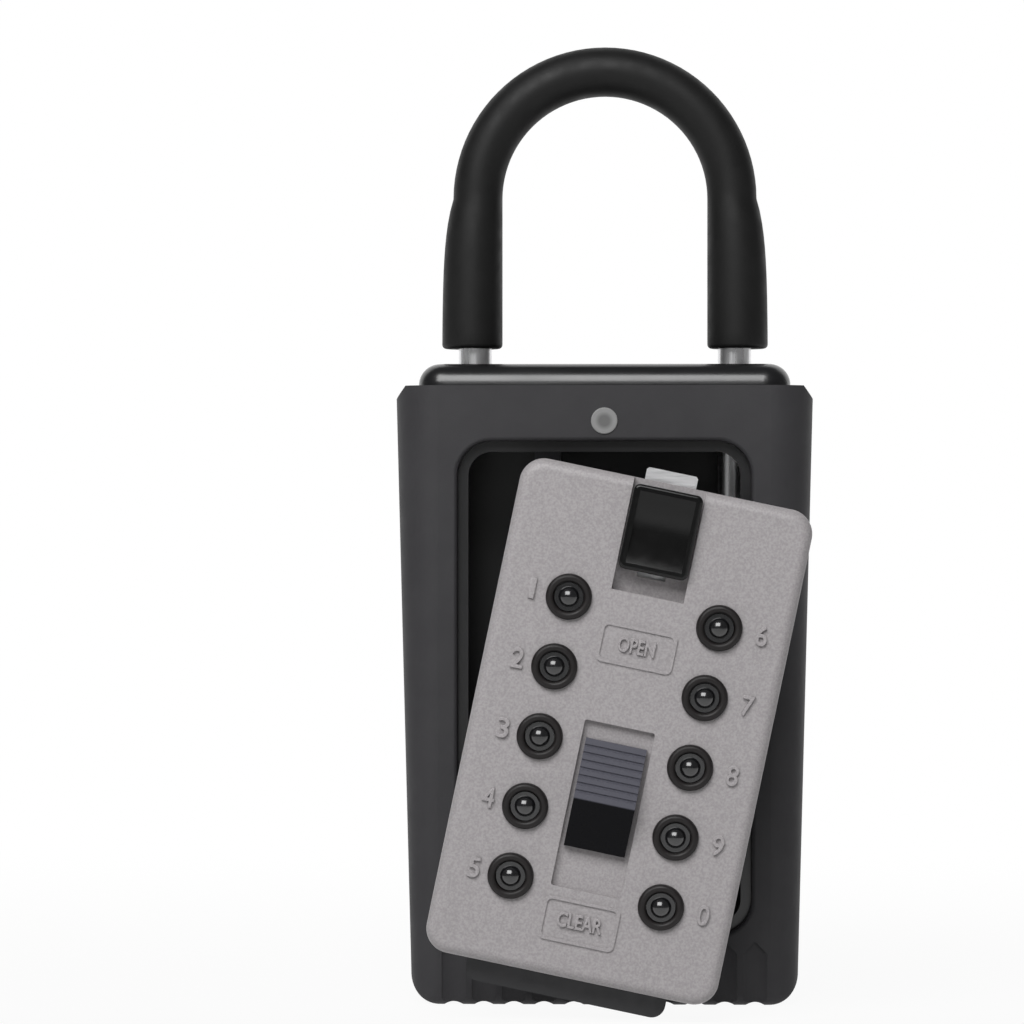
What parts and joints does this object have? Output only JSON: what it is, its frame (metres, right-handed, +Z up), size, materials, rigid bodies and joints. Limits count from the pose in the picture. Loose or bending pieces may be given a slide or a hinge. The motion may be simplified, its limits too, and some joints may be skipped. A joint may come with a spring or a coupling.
{
  "type": "portable key safe",
  "caption": "Push-button key safe with a shackle, rubbery boot and lift-off lid; the lid is off, rolled a little and held in front of the open case.",
  "frame": {"origin": "centre of the case's flat base, midway between its front and back faces", "axes": "+X right seen from the front, +Y into the case, +Z up"},
  "size_m": [0.0788, 0.0814, 0.1813],
  "materials": {
    "case_paint": "gloss black paint on a die casting",
    "boot_vinyl": "matte charcoal moulded vinyl",
    "disc_grey": "satin light grey",
    "bright_steel": "polished",
    "sleeve_vinyl": "matte black vinyl",
    "plain_steel": "bright zinc plate",
    "latch_metal": "dark plated zinc",
    "lid_paint": "fine speckled warm grey paint",
    "housing_black": "fine textured black",
    "tongue_dark": "dark grey coat",
    "guard_black": "satin black",
    "button_black": "gloss black",
    "pin_brass": "turned brass",
    "lever_black": "gloss black",
    "slider_plastic": "satin black"
  },
  "bodies": {
    "case": {"case_body": "case_paint", "bumper_boot": "boot_vinyl", "front_disc": "disc_grey", "latch_cover": "plain_steel", "latch_cover_screws": "plain_steel"},
    "shackle": {"shackle": "bright_steel", "shackle_sleeve": "sleeve_vinyl", "shackle_clip": "plain_steel"},
    "shackle_latch": {"shackle_latch": "latch_metal"},
    "lid_bush": {"centre_bush": "pin_brass"},
    "lid_screw": {"centre_screw": "plain_steel"},
    "lid": {"lid_cover": "lid_paint", "lid_housing": "housing_black", "lid_tongue": "tongue_dark", "tongue_screws": "plain_steel", "housing_screws": "plain_steel", "button_guards": "guard_black", "bolt_spring": "plain_steel", "clear_spring": "plain_steel", "button_spring_1": "plain_steel", "button_spring_2": "plain_steel", "button_spring_3": "plain_steel", "button_spring_4": "plain_steel", "button_spring_5": "plain_steel", "button_spring_6": "plain_steel", "button_spring_7": "plain_steel", "button_spring_8": "plain_steel", "button_spring_9": "plain_steel", "button_spring_0": "plain_steel"},
    "open_lever": {"open_lever": "lever_black", "latch_bolt": "bright_steel", "gate_plate": "plain_steel"},
    "clear_slider": {"clear_slider": "slider_plastic", "clear_bar": "plain_steel"},
    "button_1": {"button_1": "button_black", "code_pin_1": "pin_brass"},
    "button_2": {"button_2": "button_black", "code_pin_2": "pin_brass"},
    "button_3": {"button_3": "button_black", "code_pin_3": "pin_brass"},
    "button_4": {"button_4": "button_black", "code_pin_4": "pin_brass"},
    "button_5": {"button_5": "button_black", "code_pin_5": "pin_brass"},
    "button_6": {"button_6": "button_black", "code_pin_6": "pin_brass"},
    "button_7": {"button_7": "button_black", "code_pin_7": "pin_brass"},
    "button_8": {"button_8": "button_black", "code_pin_8": "pin_brass"},
    "button_9": {"button_9": "button_black", "code_pin_9": "pin_brass"},
    "button_0": {"button_0": "button_black", "code_pin_0": "pin_brass"}
  },
  "joints": [
    {"name": "shackle_lift", "type": "slide", "parent": "case", "child": "shackle", "axis": [0, 0, 1], "range_m": [0, 0.013]},
    {"name": "shackle_latch_slide", "type": "slide", "parent": "case", "child": "shackle_latch", "axis": [-1, 0, 0], "range_m": [0, 0.003]},
    {"name": "lid_offer", "type": "slide", "parent": "case", "child": "lid_bush", "axis": [-0.1282, 0.9431, 0.3067], "range_m": [0, 0.02184]},
    {"name": "lid_press", "type": "slide", "parent": "lid_bush", "child": "lid_screw", "axis": [0, 1, 0], "range_m": [0, 0.0072]},
    {"name": "lid_turn", "type": "hinge", "parent": "lid_screw", "child": "lid", "pos_m": [0.0028, -0.049, 0.05285], "axis": [0, 1, 0], "range_deg": [-11.8, 0]},
    {"name": "open_lever_slide", "type": "slide", "parent": "lid", "child": "open_lever", "axis": [-0.2045, 0, -0.9789], "range_m": [0, 0.0039], "stiffness_N_per_m": 400, "springref_m": -0.005, "deforming": ["bolt_spring"]},
    {"name": "clear_slide", "type": "slide", "parent": "lid", "child": "clear_slider", "axis": [-0.2045, 0, -0.9789], "range_m": [0, 0.0073], "stiffness_N_per_m": 80, "springref_m": -0.006, "deforming": ["clear_spring"]},
    {"name": "button_1_press", "type": "slide", "parent": "lid", "child": "button_1", "axis": [0, 1, 0], "range_m": [0, 0.0017], "stiffness_N_per_m": 100, "springref_m": -0.002, "deforming": ["button_spring_1"]},
    {"name": "button_2_press", "type": "slide", "parent": "lid", "child": "button_2", "axis": [0, 1, 0], "range_m": [0, 0.0017], "stiffness_N_per_m": 100, "springref_m": -0.002, "deforming": ["button_spring_2"]},
    {"name": "button_3_press", "type": "slide", "parent": "lid", "child": "button_3", "axis": [0, 1, 0], "range_m": [0, 0.0017], "stiffness_N_per_m": 100, "springref_m": -0.002, "deforming": ["button_spring_3"]},
    {"name": "button_4_press", "type": "slide", "parent": "lid", "child": "button_4", "axis": [0, 1, 0], "range_m": [0, 0.0017], "stiffness_N_per_m": 100, "springref_m": -0.002, "deforming": ["button_spring_4"]},
    {"name": "button_5_press", "type": "slide", "parent": "lid", "child": "button_5", "axis": [0, 1, 0], "range_m": [0, 0.0017], "stiffness_N_per_m": 100, "springref_m": -0.002, "deforming": ["button_spring_5"]},
    {"name": "button_6_press", "type": "slide", "parent": "lid", "child": "button_6", "axis": [0, 1, 0], "range_m": [0, 0.0017], "stiffness_N_per_m": 100, "springref_m": -0.002, "deforming": ["button_spring_6"]},
    {"name": "button_7_press", "type": "slide", "parent": "lid", "child": "button_7", "axis": [0, 1, 0], "range_m": [0, 0.0017], "stiffness_N_per_m": 100, "springref_m": -0.002, "deforming": ["button_spring_7"]},
    {"name": "button_8_press", "type": "slide", "parent": "lid", "child": "button_8", "axis": [0, 1, 0], "range_m": [0, 0.0017], "stiffness_N_per_m": 100, "springref_m": -0.002, "deforming": ["button_spring_8"]},
    {"name": "button_9_press", "type": "slide", "parent": "lid", "child": "button_9", "axis": [0, 1, 0], "range_m": [0, 0.0017], "stiffness_N_per_m": 100, "springref_m": -0.002, "deforming": ["button_spring_9"]},
    {"name": "button_0_press", "type": "slide", "parent": "lid", "child": "button_0", "axis": [0, 1, 0], "range_m": [0, 0.0017], "stiffness_N_per_m": 100, "springref_m": -0.002, "deforming": ["button_spring_0"]}
  ],
  "couplings": [
    {"joint": "lid_turn", "follows": "lid_offer", "rad_per_m": -9.4289}
  ]
}
